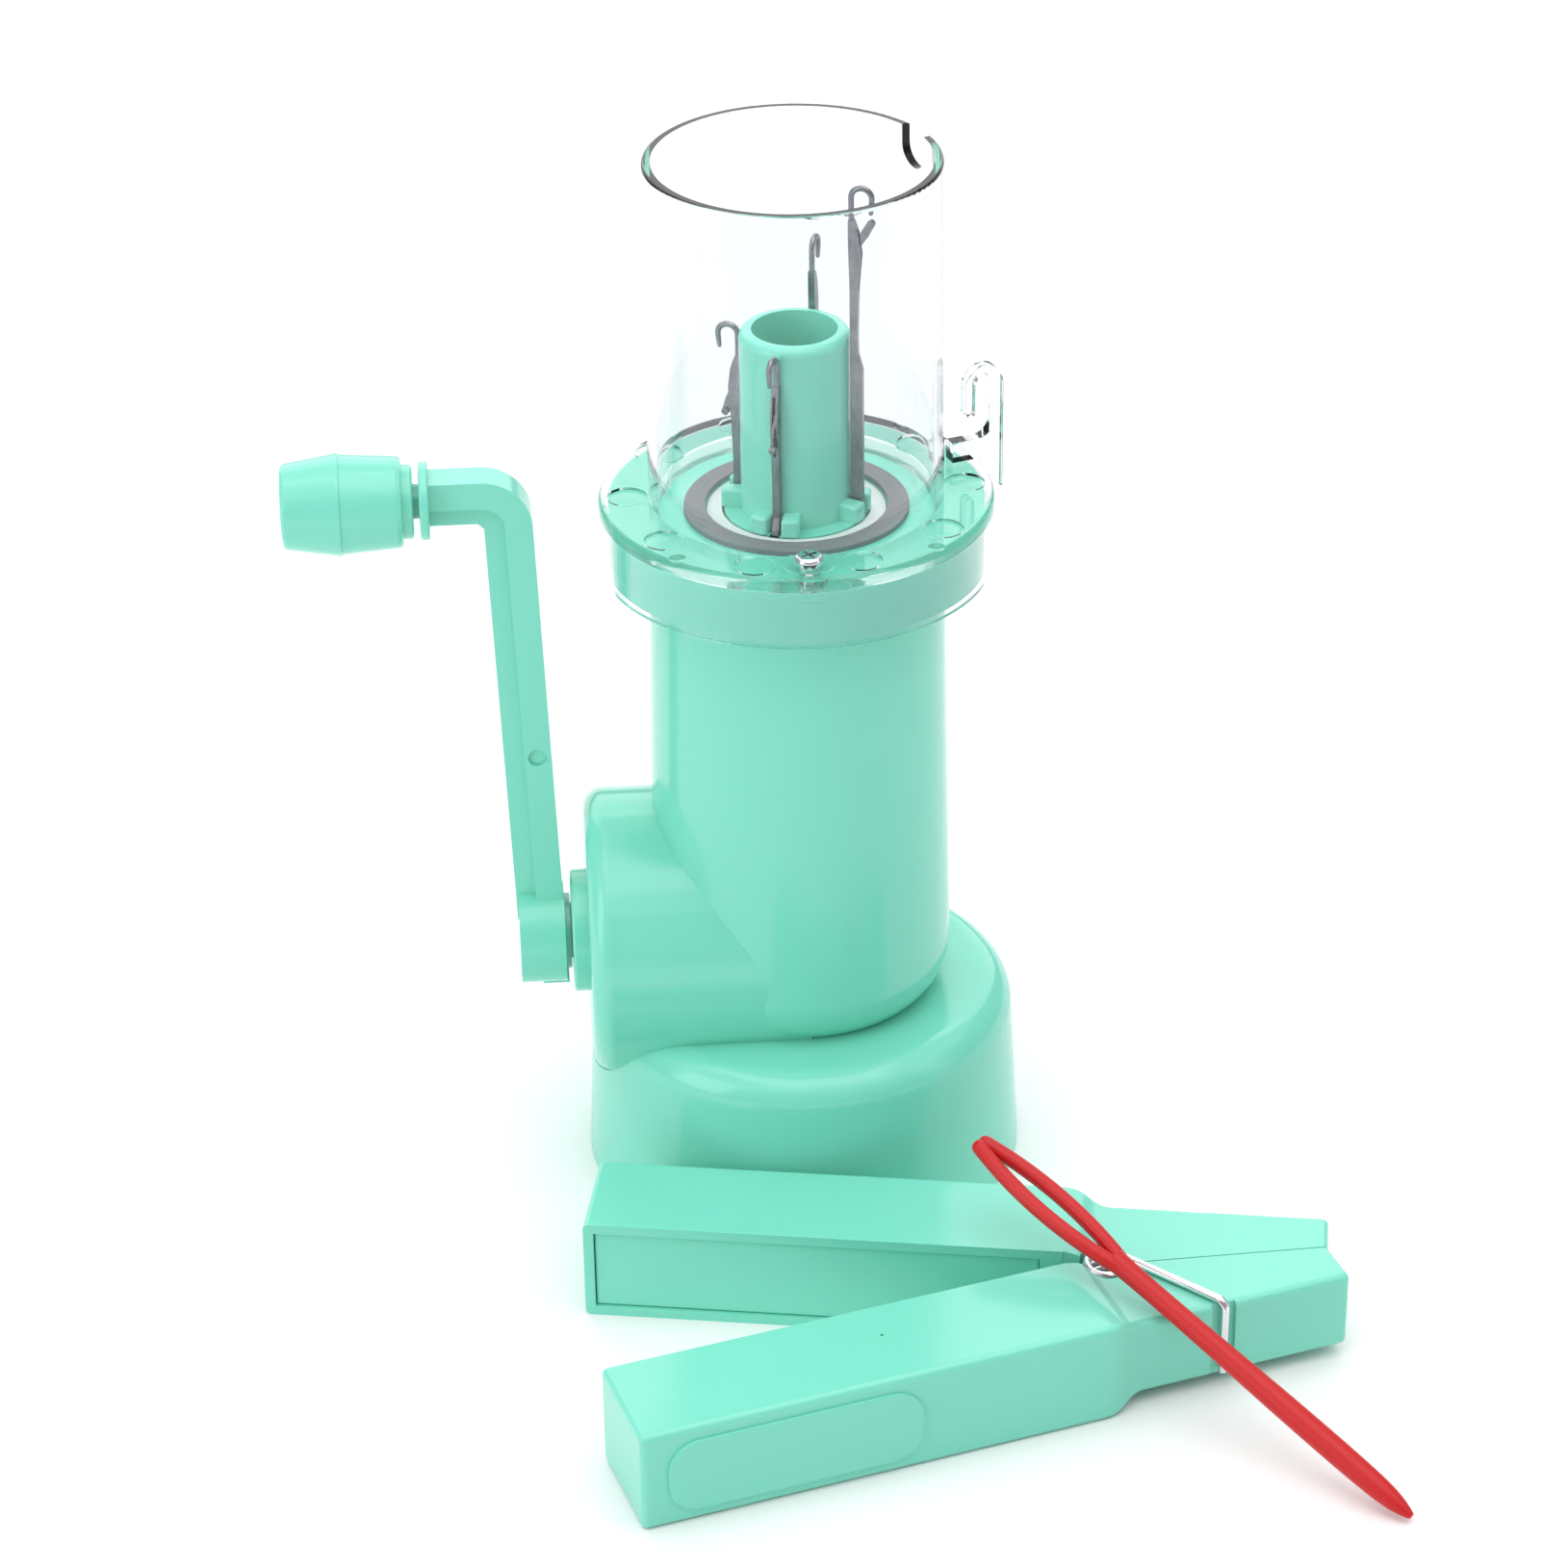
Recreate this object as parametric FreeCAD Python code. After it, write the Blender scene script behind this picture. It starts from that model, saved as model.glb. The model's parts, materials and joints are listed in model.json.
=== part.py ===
import FreeCAD, Part
import math
import os

# Hand-cranked knitting mill with its clip weight and its plastic yarn needle.
# Millimetres, +Z up. The origin is on the vertical tube axis, on the plane the foot stands on.
# The crank shaft lies along X with the crank on the -X side; the front is -Y.

V = FreeCAD.Vector
X_AXIS = V(1, 0, 0)
Y_AXIS = V(0, 1, 0)
Z_AXIS = V(0, 0, 1)

# ---- main body ----
wall = 2.2
foot_height = 34.9
foot_top_radius = 38.0
foot_bottom_radius = 39.5
foot_edge_radius = 5.9
tube_bottom_radius = 26.7
tube_top_radius = 25.4
tube_waist_radius = 22.6
tube_waist_rise = 10.0
tube_neck_z = 119.6
tube_top_z = 125.8
crank_axis_z = 45.8
drum_radius = 25.5
drum_left_x = -38.5
drum_cap_x = -34.0

# ---- collar and clear cover ----
collar_radius = 32.2
deck_top_z = 129.2
deck_hole_radius = 15.5
cover_plate_top_z = 132.0
cover_radius = 33.9
cover_skirt_bottom_z = 119.1
clear_tube_base_radius = 25.3
clear_tube_top_radius = 24.95
clear_tube_wall = 1.5
clear_tube_top_z = 192.4
notch_angle = 26.0
notch_width = 6.8
notch_depth = 6.7
cover_screw_radius = 28.2

# ---- knitting head ----
head_radius = 12.4
head_top_radius = 9.45
cord_bore_radius = 7.3
head_seat_z = 74.0
head_top_z = 162.3
needle_orbit = 10.9
needle_angles = [-112.0, -22.0, 68.0, 158.0]
needle_stroke = 27.0
needle_lifts = [0.0, 27.0, 12.4, 0.0]
latch_closed = 22.0
latch_swings = [140.0, 6.7, 140.0, 140.0]
latch_pivot_x = -0.15
latch_pivot_drop = 11.3
needle_low_top_z = 162.0
needle_length = 71.0
butt_low_z = 93.5
track_half_height = 2.9

# ---- bevel gears, apex on the crossing of the two axes ----
crank_teeth = 24
head_teeth = 20
crank_gear_radius = 19.5
head_gear_radius = 16.25
gear_face = 7.0
tooth_rise = 1.2
tooth_drop = 1.7
gear_backlash = 0.35

# ---- crank and knob ----
shaft_radius = 5.0
knob_axis_z = 132.8
pin_radius = 3.0

# ---- clip weight ----
clip_pivot = V(46.2, -70.0, 0)
clip_yaw = 2.6
clip_half_angle = 13.2
clip_handle = 90.0
clip_jaw = 38.0
clip_width = 20.0
clip_height = 19.0
clip_step = 2.2
clip_wire = 0.75
clip_coil = 3.0

# ---- yarn needle ----
yarn_tip = V(90.0, -122.3, 1.35)
yarn_support = V(55.0, -86.3, 19.3)
yarn_length = 98.0


def cyl(radius, z0, z1, x=0.0, y=0.0):
    return Part.makeCylinder(radius, z1 - z0, V(x, y, z0), Z_AXIS)


def xcyl(radius, x0, x1, y=0.0, z=0.0):
    return Part.makeCylinder(radius, x1 - x0, V(x0, y, z), X_AXIS)


def tube(outer, inner, z0, z1, x=0.0, y=0.0):
    return cyl(outer, z0, z1, x, y).cut(cyl(inner, z0 - 1, z1 + 1, x, y))


def block(x0, x1, y0, y1, z0, z1):
    return Part.makeBox(x1 - x0, y1 - y0, z1 - z0, V(x0, y0, z0))


def union(shapes):
    result = shapes[0]
    for shape in shapes[1:]:
        result = result.fuse(shape)
    return result.removeSplitter()


def polygon_face(points):
    wire = Part.makePolygon([V(*p) for p in points] + [V(*points[0])])
    return Part.Face(wire)


def revolve_z(profile):
    """Turn a closed (radius, height) outline about the Z axis."""
    face = polygon_face([(r, 0, z) for r, z in profile])
    return face.revolve(V(0, 0, 0), Z_AXIS, 360)


def revolve_x(profile, z):
    """Turn a closed (x, radius) outline about the X direction at height z."""
    face = polygon_face([(x, 0, z + r) for x, r in profile])
    return face.revolve(V(0, 0, z), X_AXIS, 360)


def arc_points(cx, cy, radius, start, end, count):
    points = []
    for i in range(count + 1):
        angle = math.radians(start + (end - start) * i / count)
        points.append((cx + radius * math.cos(angle), cy + radius * math.sin(angle)))
    return points


def smooth_revolve(line_start, arcs_and_lines):
    """Turn an outline of straight and round pieces about the Z axis."""
    edges = []
    here = line_start
    for piece in arcs_and_lines:
        start = V(here[0], 0, here[1])
        if len(piece) == 2:
            end = V(piece[0], 0, piece[1])
            edges.append(Part.makeLine(start, end))
            here = piece
        else:
            middle = V(piece[0], 0, piece[1])
            end = V(piece[2], 0, piece[3])
            edges.append(Part.Arc(start, middle, end).toShape())
            here = (piece[2], piece[3])
    face = Part.Face(Part.Wire(edges))
    return face.revolve(V(0, 0, 0), Z_AXIS, 360)


def turned(shape, angle, centre=V(0, 0, 0), axis=Z_AXIS):
    copy = shape.copy()
    copy.rotate(centre, axis, angle)
    return copy


def save(name, *solids):
    shape = solids[0] if len(solids) == 1 else Part.makeCompound(list(solids))
    for solid in shape.Solids:
        if not solid.isValid():
            print("not valid:", name)
    shape.exportStep("parts/" + name + ".step")
    print(name, len(shape.Solids), round(shape.Volume, 1))


# ------------------------------------------------------------------ body

def foot_outline(inset):
    """Solid of the round foot, shrunk inward by inset."""
    r_top = foot_top_radius - inset
    r_bottom = foot_bottom_radius - inset
    z_top = foot_height - inset
    edge = foot_edge_radius - inset
    diagonal = edge * math.sqrt(0.5)
    return smooth_revolve((0, z_top), [
        (r_top - edge, z_top),
        (r_top - edge + diagonal, z_top - edge + diagonal, r_top, z_top - edge),
        (r_bottom, 0),
        (0, 0),
        (0, z_top),
    ])


def tube_outline(inset, z_top):
    """Solid of the drafted tube with its rounded lower end, shrunk by inset."""
    r_waist = tube_waist_radius - inset
    r_low = tube_bottom_radius - inset
    r_high = tube_top_radius - inset
    z_low = foot_height - 2.5
    z_full = foot_height + tube_waist_rise
    middle_r = r_waist + (r_low - r_waist) * 0.72
    middle_z = foot_height + tube_waist_rise * 0.38
    return smooth_revolve((0, z_low), [
        (r_waist, z_low),
        (r_waist, foot_height),
        (middle_r, middle_z, r_low, z_full),
        (r_high, tube_neck_z),
        (r_high, z_top),
        (0, z_top),
        (0, z_low),
    ])


def make_body():
    drum = xcyl(drum_radius, drum_cap_x, 0, 0, crank_axis_z)
    outer = tube_outline(0, tube_top_z).fuse([drum, foot_outline(0)])
    inner_drum = xcyl(drum_radius - wall, drum_cap_x - 1, 2, 0, crank_axis_z)
    hollow_tube = tube_outline(wall, tube_top_z + 1)
    hollow_foot = foot_outline(wall)
    hollow_foot = hollow_foot.fuse(cyl(foot_bottom_radius - wall, -1, 0.5))
    body = outer.cut(hollow_tube.fuse([inner_drum, hollow_foot]))
    body = body.cut(xcyl(drum_radius, drum_left_x - 8, drum_cap_x, 0, crank_axis_z))
    ledge = tube(tube_bottom_radius - wall + 0.6, 20.6, 67.0, 69.9)
    body = body.fuse(ledge)
    bosses = []
    for angle in (90.0, 210.0, 330.0):
        x = 31.5 * math.cos(math.radians(angle))
        y = 31.5 * math.sin(math.radians(angle))
        boss = cyl(3.6, 3.9, foot_height - 1.0, x, y).common(foot_outline(0.6))
        bosses.append(boss.cut(cyl(1.25, 3.0, 16.0, x, y)))
    gear_room = xcyl(21.4, drum_cap_x - 2, -10, 0, crank_axis_z)
    body = union([body] + bosses)
    body = body.cut(gear_room)
    ejector_dimple = Part.makeCylinder(0.45, 3.0, V(-29.0, -8.0, 71.5 - 1.2), Z_AXIS)
    return body.cut(ejector_dimple)


def make_base_cover():
    plate = cyl(36.7, 1.5, 3.9).fuse(cyl(12.0, 0, 11.0))
    plate = plate.cut(cyl(10.0, -1, 12))
    for angle in (90.0, 210.0, 330.0):
        x = 31.5 * math.cos(math.radians(angle))
        y = 31.5 * math.sin(math.radians(angle))
        plate = plate.cut(cyl(1.6, 0, 5, x, y))
    return plate.removeSplitter()


def pan_screw(head_radius_mm, head_height, shank_radius, length, recess):
    """Cross-head screw pointing down -Z with the head's underside at z = 0."""
    head = cyl(head_radius_mm, 0, head_height)
    top_edges = [e for e in head.Edges if e.BoundBox.ZMin > head_height - 1e-6]
    head = head.makeFillet(head_height * 0.55, top_edges)
    arm = recess * 1.9
    cross = block(-arm, arm, -recess * 0.32, recess * 0.32, head_height - recess, head_height + 1)
    head = head.cut(cross).cut(turned(cross, 90))
    return head.fuse(cyl(shank_radius, -length, 0)).removeSplitter()


def make_base_screws():
    screws = []
    for angle in (90.0, 210.0, 330.0):
        screw = pan_screw(2.8, 1.3, 1.2, 11.0, 0.7)
        screw.rotate(V(0, 0, 0), X_AXIS, 180)
        x = 31.5 * math.cos(math.radians(angle))
        y = 31.5 * math.sin(math.radians(angle))
        screw.translate(V(x, y, 1.5))
        screws.append(screw)
    return screws


def make_gear_cover():
    disc = xcyl(drum_radius, drum_left_x, drum_cap_x, 0, crank_axis_z)
    rim = [e for e in disc.Edges if abs(e.BoundBox.XMax - drum_left_x) < 1e-6]
    disc = disc.makeFillet(3.6, rim)
    spigot = xcyl(drum_radius - wall - 0.15, drum_cap_x, drum_cap_x + 3.0, 0, crank_axis_z)
    spigot = spigot.cut(xcyl(drum_radius - wall - 2.0, drum_cap_x - 1, drum_cap_x + 4, 0, crank_axis_z))
    boss = xcyl(9.6, drum_cap_x, -31.5, 0, crank_axis_z)
    cover = union([disc, spigot, boss])
    return cover.cut(xcyl(7.25, drum_left_x - 1, -30, 0, crank_axis_z))


def make_crank_bush():
    flange = xcyl(11.0, -41.4, drum_left_x, 0, crank_axis_z)
    rim = [e for e in flange.Edges if abs(e.BoundBox.XMax + 41.4) < 1e-6]
    flange = flange.makeFillet(0.6, rim)
    barrel = xcyl(7.2, drum_left_x, -30.0, 0, crank_axis_z)
    bush = flange.fuse(barrel).removeSplitter()
    return bush.cut(xcyl(shaft_radius + 0.06, -42, -29, 0, crank_axis_z))


# ------------------------------------------------------------------ collar, deck and clear cover

def make_collar():
    outline = [
        (deck_hole_radius, deck_top_z), (collar_radius, deck_top_z),
        (collar_radius, tube_neck_z), (collar_radius - 2.3, tube_neck_z),
        (collar_radius - 2.3, tube_top_z), (27.6, tube_top_z),
        (27.6, tube_neck_z), (tube_top_radius + 0.1, tube_neck_z),
        (tube_top_radius + 0.1, tube_top_z), (deck_hole_radius, tube_top_z),
    ]
    collar = revolve_z(outline)
    for side in (-1, 1):
        y = side * cover_screw_radius
        boss = cyl(3.2, tube_neck_z, tube_top_z, 0, y)
        boss = boss.cut(cyl(tube_top_radius + 0.1, tube_neck_z - 1, tube_top_z + 1))
        boss = boss.common(cyl(collar_radius, tube_neck_z - 1, tube_top_z + 1))
        collar = collar.fuse(boss)
    for side in (-1, 1):
        collar = collar.cut(cyl(1.15, tube_neck_z + 0.5, deck_top_z + 1, 0, side * cover_screw_radius))
    return collar.removeSplitter()


def make_grey_ring():
    return tube(19.3, deck_hole_radius + 0.15, deck_top_z, deck_top_z + 0.9)


def make_clear_cover():
    inner = clear_tube_base_radius - clear_tube_wall
    edge = 0.5
    plate = smooth_revolve((inner, deck_top_z), [
        (cover_radius - 1.35, deck_top_z),
        (cover_radius - 1.35, cover_skirt_bottom_z),
        (cover_radius, cover_skirt_bottom_z),
        (cover_radius, cover_plate_top_z - 1.2),
        (cover_radius - 0.35, cover_plate_top_z - 0.35, cover_radius - 1.2, cover_plate_top_z),
        (inner, cover_plate_top_z),
        (inner, deck_top_z),
    ])
    shell = smooth_revolve((inner, cover_plate_top_z - 0.5), [
        (clear_tube_base_radius, cover_plate_top_z - 0.5),
        (clear_tube_base_radius, cover_plate_top_z),
        (clear_tube_top_radius, clear_tube_top_z - edge),
        (clear_tube_top_radius - 0.15, clear_tube_top_z - 0.15,
         clear_tube_top_radius - edge, clear_tube_top_z),
        (clear_tube_top_radius - clear_tube_wall, clear_tube_top_z),
        (inner, cover_plate_top_z - 0.5),
    ])
    cover = plate.fuse(shell)
    for step in (18, 54, 90, 126, 162):
        for side in (-1, 1):
            angle = math.radians(-90 + side * step)
            x = 28.9 * math.cos(angle)
            y = 28.9 * math.sin(angle)
            cover = cover.cut(cyl(3.5, cover_plate_top_z - 0.5, cover_plate_top_z + 1, x, y).cut(
                cyl(clear_tube_base_radius + 0.02, 100, 200)))
    for side in (-1, 1):
        y = side * cover_screw_radius
        pad = cyl(4.3, cover_plate_top_z - 0.2, cover_plate_top_z + 0.3, 0, y)
        cover = cover.fuse(pad.common(cyl(cover_radius - 1.3, 100, 200)))
        lug = cyl(4.1, 127.9, cover_plate_top_z - 0.1, 0, side * (cover_radius - 3.5))
        cover = cover.fuse(lug.cut(cyl(cover_radius - 0.5, 100, 200)))
        cover = cover.cut(cyl(1.35, 100, 140, 0, y))
    for angle in (-48.0, -132.0, 48.0, 132.0):
        dimple = Part.makeSphere(2.2, V(cover_radius - 1.6, 0, cover_plate_top_z + 1.6))
        cover = cover.cut(turned(dimple, angle))
    z0 = clear_tube_top_z - notch_depth + notch_width / 2
    slot = block(20, 30, -notch_width / 2, notch_width / 2, z0, clear_tube_top_z + 5)
    slot = slot.fuse(Part.makeCylinder(notch_width / 2, 10, V(20, 0, z0), X_AXIS))
    cover = cover.cut(turned(slot, notch_angle))
    return cover.removeSplitter()


def make_yarn_guide():
    """Flat hook standing on the rim: bracket, outer leg, arch and short inner leg."""
    half = 1.45
    outer_x = 38.3
    outline = [V(28.6, 0, cover_plate_top_z)]
    outline.append(V(cover_radius + 0.1, 0, cover_plate_top_z))
    outline.append(V(cover_radius + 0.1, 0, 123.5))
    outline.append(V(outer_x, 0, 125.5))
    edges = [Part.makeLine(outline[i], outline[i + 1]) for i in range(3)]
    arch_z = 145.6
    edges.append(Part.makeLine(outline[3], V(outer_x, 0, arch_z)))
    middle_x = (outer_x + 31.1) / 2
    radius = (outer_x - 31.1) / 2
    crown = V(middle_x, 0, arch_z + radius)
    edges.append(Part.Arc(V(outer_x, 0, arch_z), crown, V(31.1, 0, arch_z)).toShape())
    edges.append(Part.makeLine(V(31.1, 0, arch_z), V(31.1, 0, 140.6)))
    edges.append(Part.Arc(V(31.1, 0, 140.6), V(32.05, 0, 139.65), V(33.0, 0, 140.6)).toShape())
    edges.append(Part.makeLine(V(33.0, 0, 140.6), V(33.0, 0, arch_z)))
    slot_radius = (36.2 - 33.0) / 2
    slot_crown = V(34.6, 0, arch_z + slot_radius)
    edges.append(Part.Arc(V(33.0, 0, arch_z), slot_crown, V(36.2, 0, arch_z)).toShape())
    edges.append(Part.makeLine(V(36.2, 0, arch_z), V(36.2, 0, 138.2)))
    edges.append(Part.Arc(V(36.2, 0, 138.2), V(35.2, 0, 136.2), V(33.2, 0, 135.6)).toShape())
    edges.append(Part.makeLine(V(33.2, 0, 135.6), V(28.6, 0, 135.6)))
    edges.append(Part.makeLine(V(28.6, 0, 135.6), V(28.6, 0, cover_plate_top_z)))
    face = Part.Face(Part.Wire(edges))
    hook = face.extrude(V(0, 2 * half, 0))
    hook.translate(V(0, -half, 0))
    near_side = [e for e in hook.Edges if abs(e.BoundBox.YMax + half) < 1e-6]
    far_side = [e for e in hook.Edges if abs(e.BoundBox.YMin - half) < 1e-6]
    rounded = near_side + far_side
    rounded = [e for e in rounded if e.BoundBox.ZMin > cover_plate_top_z + 0.5]
    hook = hook.makeFillet(0.45, rounded)
    return turned(hook, 18.0)


def make_cover_screws():
    screws = []
    for side in (-1, 1):
        screw = pan_screw(2.45, 1.5, 1.1, 9.0, 0.8)
        screw.rotate(V(0, 0, 0), Z_AXIS, 31 if side < 0 else 12)
        screw.translate(V(0, side * cover_screw_radius, cover_plate_top_z + 0.3))
        screws.append(screw)
    return screws


# ------------------------------------------------------------------ cams and bearing

def cam_lift(angle):
    """Needle lift at a given angle: quick rise over 90 degrees, slow fall over 180."""
    away = (angle + 22.0 + 180.0) % 360.0 - 180.0
    reach = 90.0 if away < 0 else 180.0
    if abs(away) >= reach:
        return 0.0
    return needle_stroke / 2 * (1.0 + math.cos(math.pi * away / reach))


def closed_curve(radius, height_at):
    points = []
    for i in range(48):
        degrees = i * 7.5
        angle = math.radians(degrees)
        points.append(V(radius * math.cos(angle), radius * math.sin(angle), height_at(degrees)))
    curve = Part.BSplineCurve()
    curve.interpolate(Points=points, PeriodicFlag=True)
    return curve.toShape()


def ring_between(inner, outer, low_at, high_at):
    """Closed sleeve whose lower and upper ends follow the given heights."""
    inner_low = closed_curve(inner, low_at)
    inner_high = closed_curve(inner, high_at)
    outer_low = closed_curve(outer, low_at)
    outer_high = closed_curve(outer, high_at)
    faces = [
        Part.makeRuledSurface(inner_low, outer_low),
        Part.makeRuledSurface(inner_high, outer_high),
        Part.makeRuledSurface(inner_low, inner_high),
        Part.makeRuledSurface(outer_low, outer_high),
    ]
    shell = Part.makeShell([f.Faces[0] for f in faces])
    shell.sewShape()
    solid = Part.makeSolid(shell.Shells[0] if shell.Shells else shell)
    if solid.Volume < 0:
        solid.reverse()
    return solid


def make_cams():
    inner = 13.35
    outer = 22.9
    track_floor = butt_low_z - track_half_height
    track_roof = butt_low_z + track_half_height
    lower = ring_between(inner, outer, lambda a: 73.8, lambda a: track_floor + cam_lift(a))
    upper = ring_between(inner, outer, lambda a: track_roof + cam_lift(a), lambda a: 125.3)
    neck = tube(deck_hole_radius - 0.15, 12.75, 125.3, 129.1)
    cap = tube(outer - 0.1, 12.75, 125.3, 125.7)
    return lower, upper.fuse([cap, neck]).removeSplitter()


def make_bearing_ring():
    return tube(23.3, 9.06, 69.9, 73.8)


# ------------------------------------------------------------------ needle head

def make_head():
    body = union([
        cyl(head_radius, head_seat_z, deck_top_z),
        cyl(9.0, 58.5, head_seat_z),
        cyl(head_top_radius, deck_top_z - 1, head_top_z),
    ])
    tab = block(8.6, 12.8, -1.55, 1.55, 126.0, 132.4)
    tab = tab.makeFillet(0.6, [e for e in tab.Edges if e.BoundBox.ZMax > 132.0])
    tabs = []
    for needle_angle in needle_angles:
        for side in (-1, 1):
            tabs.append(turned(tab, needle_angle + side * 13.0))
    body = body.fuse(tabs)
    body = body.cut(tube(head_radius + 2, head_radius, 125.5, deck_top_z + 0.2))
    body = body.cut(cyl(cord_bore_radius, 50, 170))
    for needle_angle in needle_angles:
        slot = block(9.5, 14.5, -0.85, 0.85, 87.0, deck_top_z + 4)
        body = body.cut(turned(slot, needle_angle))
    groove = tube(head_radius + 1, 11.98, 124.0, 125.0)
    body = body.cut(groove).removeSplitter()
    rim = [e for e in body.Edges if e.BoundBox.ZMin > head_top_z - 1e-6 and e.BoundBox.XMax > 9.3]
    return body.makeFillet(1.6, rim)


def make_garter_spring():
    return Part.makeTorus(12.5, 0.4, V(0, 0, 124.5), Z_AXIS)


def gear_blank(axial, radial, face_ratio, bore, back):
    """Bevel gear blank with the apex at the origin and its axis along +Z."""
    slope = math.atan2(radial, axial)
    root_r = radial - tooth_drop * math.cos(slope)
    root_a = axial + tooth_drop * math.sin(slope)
    profile = [
        (bore, root_a + back), (root_r - 1.0, root_a + back), (root_r, root_a),
        (root_r * face_ratio, root_a * face_ratio), (bore, root_a * face_ratio),
    ]
    return revolve_z(profile)


def gear_tooth(axial, radial, face_ratio, teeth):
    """One straight tooth pointing along +X, tapering to the apex."""
    slope = math.atan2(radial, axial)
    half = math.pi * radial / teeth / 2 - gear_backlash / 2
    levels = [(-tooth_drop - 0.25, 0.40), (0.0, 0.30), (tooth_rise, 0.42)]
    side = []
    for level, flank in levels:
        width = half - level * flank
        r = radial + level * math.cos(slope)
        a = axial - level * math.sin(slope)
        side.append((r, width, a))
    ring = side + [(r, -w, a) for r, w, a in reversed(side)]
    big = [V(r, w, a) for r, w, a in ring]
    small = [p * face_ratio for p in big]
    big_wire = Part.makePolygon(big + [big[0]])
    small_wire = Part.makePolygon(small + [small[0]])
    return Part.makeLoft([small_wire, big_wire], True, True)


def bevel_gear(axial, radial, teeth, bore, back, phase):
    cone = math.hypot(axial, radial)
    face_ratio = (cone - gear_face) / cone
    blank = gear_blank(axial, radial, face_ratio, bore, back)
    tooth = gear_tooth(axial, radial, face_ratio, teeth)
    row = [turned(tooth, phase + i * 360.0 / teeth) for i in range(teeth)]
    return blank.fuse(row)


def make_head_gear():
    gear = bevel_gear(crank_gear_radius, head_gear_radius, head_teeth, 9.04, 3.0, 180.0 / head_teeth)
    gear.translate(V(0, 0, crank_axis_z))
    return gear.removeSplitter()


def make_crank_gear():
    gear = bevel_gear(head_gear_radius, crank_gear_radius, crank_teeth, shaft_radius + 0.04, 3.0, 0.0)
    hub = tube(8.2, shaft_radius + 0.04, 20.0, 29.7)
    gear = gear.fuse(hub).removeSplitter()
    gear.rotate(V(0, 0, 0), Y_AXIS, -90)
    gear.translate(V(0, 0, crank_axis_z))
    return gear


# ------------------------------------------------------------------ crank

def make_crank_shaft():
    shaft = xcyl(shaft_radius, -47.0, -12.6, 0, crank_axis_z)
    shaft = shaft.cut(xcyl(1.25, -48, -38, 0, crank_axis_z))
    flat = block(-48, -41.5, -6, 6, crank_axis_z + 3.6, crank_axis_z + 6)
    return shaft.cut(flat)


def make_crank_arm():
    lean = (2.4) / (115.4 - 42.8)
    z_axis = crank_axis_z
    flange_top = knob_axis_z + 4.4
    flange_low = knob_axis_z - 0.5
    web_low = knob_axis_z - 4.1

    def right_x(z):
        return -42.35 - (z - 42.8) * lean

    left_end = -62.6
    bend = 8.5
    corner_z = flange_top - bend
    corner_x = right_x(flange_top - bend * 0.5)
    thick = 4.75
    web = 3.6
    flange_edges = []
    pts = [
        V(right_x(z_axis - 9.0), 0, z_axis - 9.0),
        V(right_x(corner_z), 0, corner_z),
    ]
    flange_edges.append(Part.makeLine(pts[0], pts[1]))
    mid = V(corner_x - bend * 0.293, 0, flange_top - bend * 0.293)
    end = V(right_x(corner_z) - bend, 0, flange_top)
    flange_edges.append(Part.Arc(pts[1], mid, end).toShape())
    flange_edges.append(Part.makeLine(end, V(left_end, 0, flange_top)))
    flange_edges.append(Part.makeLine(V(left_end, 0, flange_top), V(left_end, 0, flange_low)))
    inner_bend = bend - thick
    inner_end = V(right_x(corner_z) - bend, 0, flange_low)
    inner_start = V(right_x(corner_z) - thick, 0, corner_z)
    inner_mid = V(right_x(corner_z) - thick - inner_bend * 0.293, 0, flange_low - inner_bend * 0.293)
    flange_edges.append(Part.makeLine(V(left_end, 0, flange_low), inner_end))
    flange_edges.append(Part.Arc(inner_end, inner_mid, inner_start).toShape())
    low_inner = V(right_x(z_axis - 9.0) - thick, 0, z_axis - 9.0)
    flange_edges.append(Part.makeLine(inner_start, low_inner))
    flange_edges.append(Part.makeLine(low_inner, pts[0]))
    flange = Part.Face(Part.Wire(flange_edges)).extrude(V(0, 6.4, 0))
    flange.translate(V(0, -3.2, 0))

    web_points = [
        (right_x(z_axis - 9.0) - 1.0, -1.5, z_axis - 9.0),
        (right_x(corner_z) - 1.0, -1.5, corner_z + 1.0),
        (right_x(corner_z) - 3.5, -1.5, flange_top - 3.0),
        (left_end, -1.5, flange_top - 2.0),
        (left_end, -1.5, web_low),
        (right_x(web_low) - thick - web - 1.0, -1.5, web_low),
        (right_x(web_low - 1.0) - thick - web, -1.5, web_low - 1.0),
        (right_x(z_axis - 9.0) - thick - web, -1.5, z_axis - 9.0),
    ]
    web_solid = polygon_face(web_points).extrude(V(0, 3.0, 0))
    boss = xcyl(9.0, -50.7, -42.6, 0, z_axis)
    collar = xcyl(6.8, -43.0, -41.6, 0, z_axis)
    disc = xcyl(6.7, -64.2, left_end, 0, knob_axis_z)
    disc_rim = [e for e in disc.Edges if e.BoundBox.XLength < 1e-6]
    disc = disc.makeFillet(0.4, disc_rim)
    pin = xcyl(pin_radius, -82.0, left_end, 0, knob_axis_z)
    barb = revolve_x([(-84.0, 0), (-84.0, 1.6), (-82.0, 3.35), (-81.4, 3.35), (-81.4, 0)], knob_axis_z)
    arm = union([flange, web_solid, boss, collar, disc, pin, barb])
    mark = Part.makeCylinder(1.65, 1.0, V(right_x(83.4) - 2.5, -3.55, 83.4), V(0, 1, 0))
    arm = arm.cut(mark)
    bore = xcyl(shaft_radius + 0.03, -47.03, -41, 0, z_axis)
    bore = bore.cut(block(-48, -40, -7, 7, z_axis + 3.63, z_axis + 7))
    arm = arm.cut(bore)
    arm = arm.cut(xcyl(3.9, -52, -49.2, 0, z_axis)).cut(xcyl(1.5, -52, -46, 0, z_axis))
    return arm.removeSplitter()


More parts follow.
